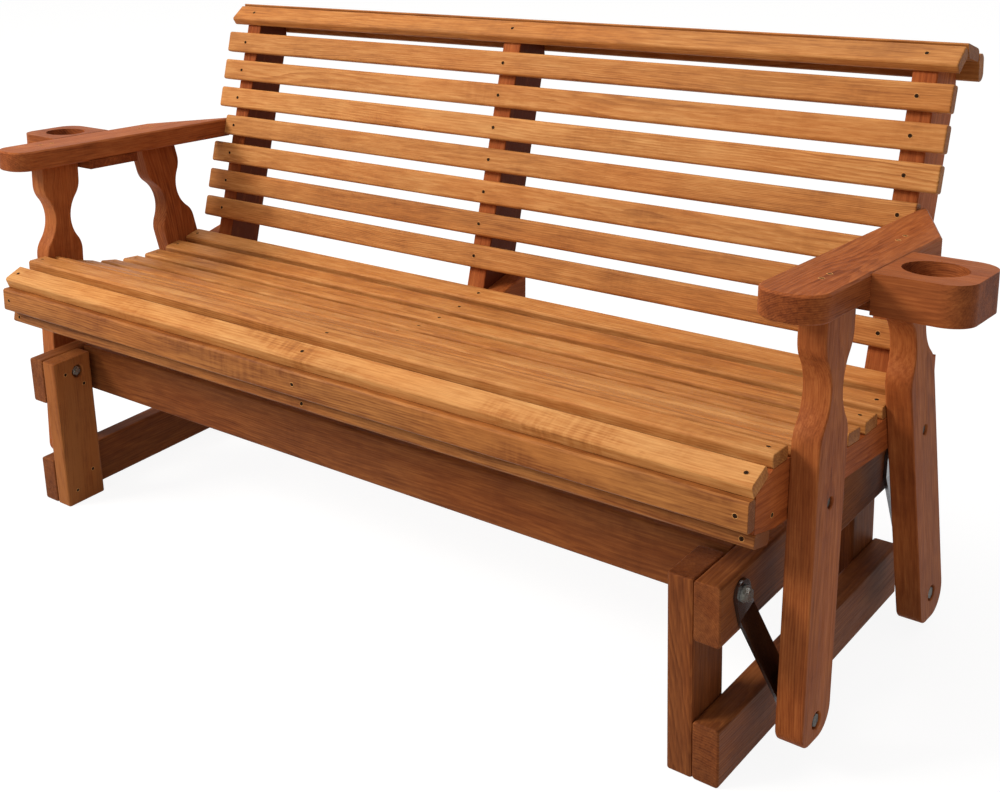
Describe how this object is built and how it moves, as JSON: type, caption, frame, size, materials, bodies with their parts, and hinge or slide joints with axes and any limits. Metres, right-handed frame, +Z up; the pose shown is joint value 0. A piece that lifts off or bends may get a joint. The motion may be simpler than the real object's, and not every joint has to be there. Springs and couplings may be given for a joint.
{
  "type": "porch glider bench",
  "caption": "Slatted wooden glider bench with a rolled seat front, hanging steel links, waisted arm posts and cup holders; the seat swings fore and aft over a fixed base.",
  "frame": {"origin": "centre of the bench's bounding box on the floor, in the pictured rest pose", "axes": "+Z up, -Y the side that a sitter faces, +X to the right as seen from in front"},
  "size_m": [1.874, 0.7896, 0.8896],
  "materials": {
    "base_lumber": "clear oil stain",
    "frame_lumber": "clear oil stain",
    "slat_lumber": "clear oil stain",
    "end_lumber": "clear oil stain",
    "strap_steel": "zinc plated",
    "bolt_steel": "zinc plated"
  },
  "bodies": {
    "base": {"base_beam_front": "base_lumber", "base_beam_rear": "base_lumber", "base_leg_front_left": "base_lumber", "base_leg_front_right": "base_lumber", "base_leg_rear_left": "base_lumber", "base_leg_rear_right": "base_lumber", "base_rail_lower_left": "base_lumber", "base_rail_lower_right": "base_lumber", "base_rail_upper_left": "base_lumber", "base_rail_upper_right": "base_lumber", "upper_pivot_bolts": "bolt_steel", "upper_pivot_nuts": "bolt_steel", "upper_pivot_washers": "bolt_steel"},
    "seat": {"arm_left": "end_lumber", "arm_right": "end_lumber", "back_slat_1": "slat_lumber", "back_slat_2": "slat_lumber", "back_slat_3": "slat_lumber", "back_slat_4": "slat_lumber", "back_slat_5": "slat_lumber", "back_slat_6": "slat_lumber", "back_slat_7": "slat_lumber", "back_upright_centre": "frame_lumber", "back_upright_left": "frame_lumber", "back_upright_right": "frame_lumber", "crest_slat_1": "slat_lumber", "crest_slat_2": "slat_lumber", "crest_slat_3": "slat_lumber", "cup_block_left": "end_lumber", "cup_block_right": "end_lumber", "lower_pivot_bolts": "bolt_steel", "lower_pivot_nuts": "bolt_steel", "roll_slat_1": "slat_lumber", "roll_slat_2": "slat_lumber", "roll_slat_3": "slat_lumber", "seat_post_front_left": "end_lumber", "seat_post_front_right": "end_lumber", "seat_post_rear_left": "end_lumber", "seat_post_rear_right": "end_lumber", "seat_rail_centre": "frame_lumber", "seat_rail_left": "frame_lumber", "seat_rail_right": "frame_lumber", "seat_slat_1": "slat_lumber", "seat_slat_2": "slat_lumber", "seat_slat_3": "slat_lumber", "seat_slat_4": "slat_lumber", "seat_slat_5": "slat_lumber", "seat_slat_6": "slat_lumber", "seat_slat_7": "slat_lumber", "seat_slat_8": "slat_lumber", "side_bolts": "bolt_steel"},
    "link_front_right": {"hanger_front_right": "strap_steel"},
    "link_front_left": {"hanger_front_left": "strap_steel"},
    "link_rear_right": {"hanger_rear_right": "strap_steel"},
    "link_rear_left": {"hanger_rear_left": "strap_steel"}
  },
  "joints": [
    {"name": "glide", "type": "hinge", "parent": "base", "child": "link_front_right", "pos_m": [0.72375, -0.32465, 0.27], "axis": [1, 0, 0], "range_deg": [-21.4, 6.6]},
    {"name": "seat_pivot", "type": "hinge", "parent": "link_front_right", "child": "seat", "pos_m": [0.75925, -0.25723, 0.07196], "axis": [1, 0, 0], "range_deg": [-8.17, 25.83]},
    {"name": "glide_front_left", "type": "hinge", "parent": "base", "child": "link_front_left", "pos_m": [-0.72375, -0.32465, 0.27], "axis": [1, 0, 0], "range_deg": [-21.7, 6.9]},
    {"name": "glide_rear_right", "type": "hinge", "parent": "base", "child": "link_rear_right", "pos_m": [0.72375, 0.18035, 0.27], "axis": [1, 0, 0], "range_deg": [-21.79, 6.93]},
    {"name": "glide_rear_left", "type": "hinge", "parent": "base", "child": "link_rear_left", "pos_m": [-0.72375, 0.18035, 0.27], "axis": [1, 0, 0], "range_deg": [-21.79, 6.93]}
  ],
  "couplings": [
    {"joint": "seat_pivot", "follows": "glide", "ratio": -1.193},
    {"joint": "glide_front_left", "follows": "glide", "ratio": 1},
    {"joint": "glide_rear_right", "follows": "glide", "ratio": 1.004},
    {"joint": "glide_rear_left", "follows": "glide", "ratio": 1.004}
  ]
}
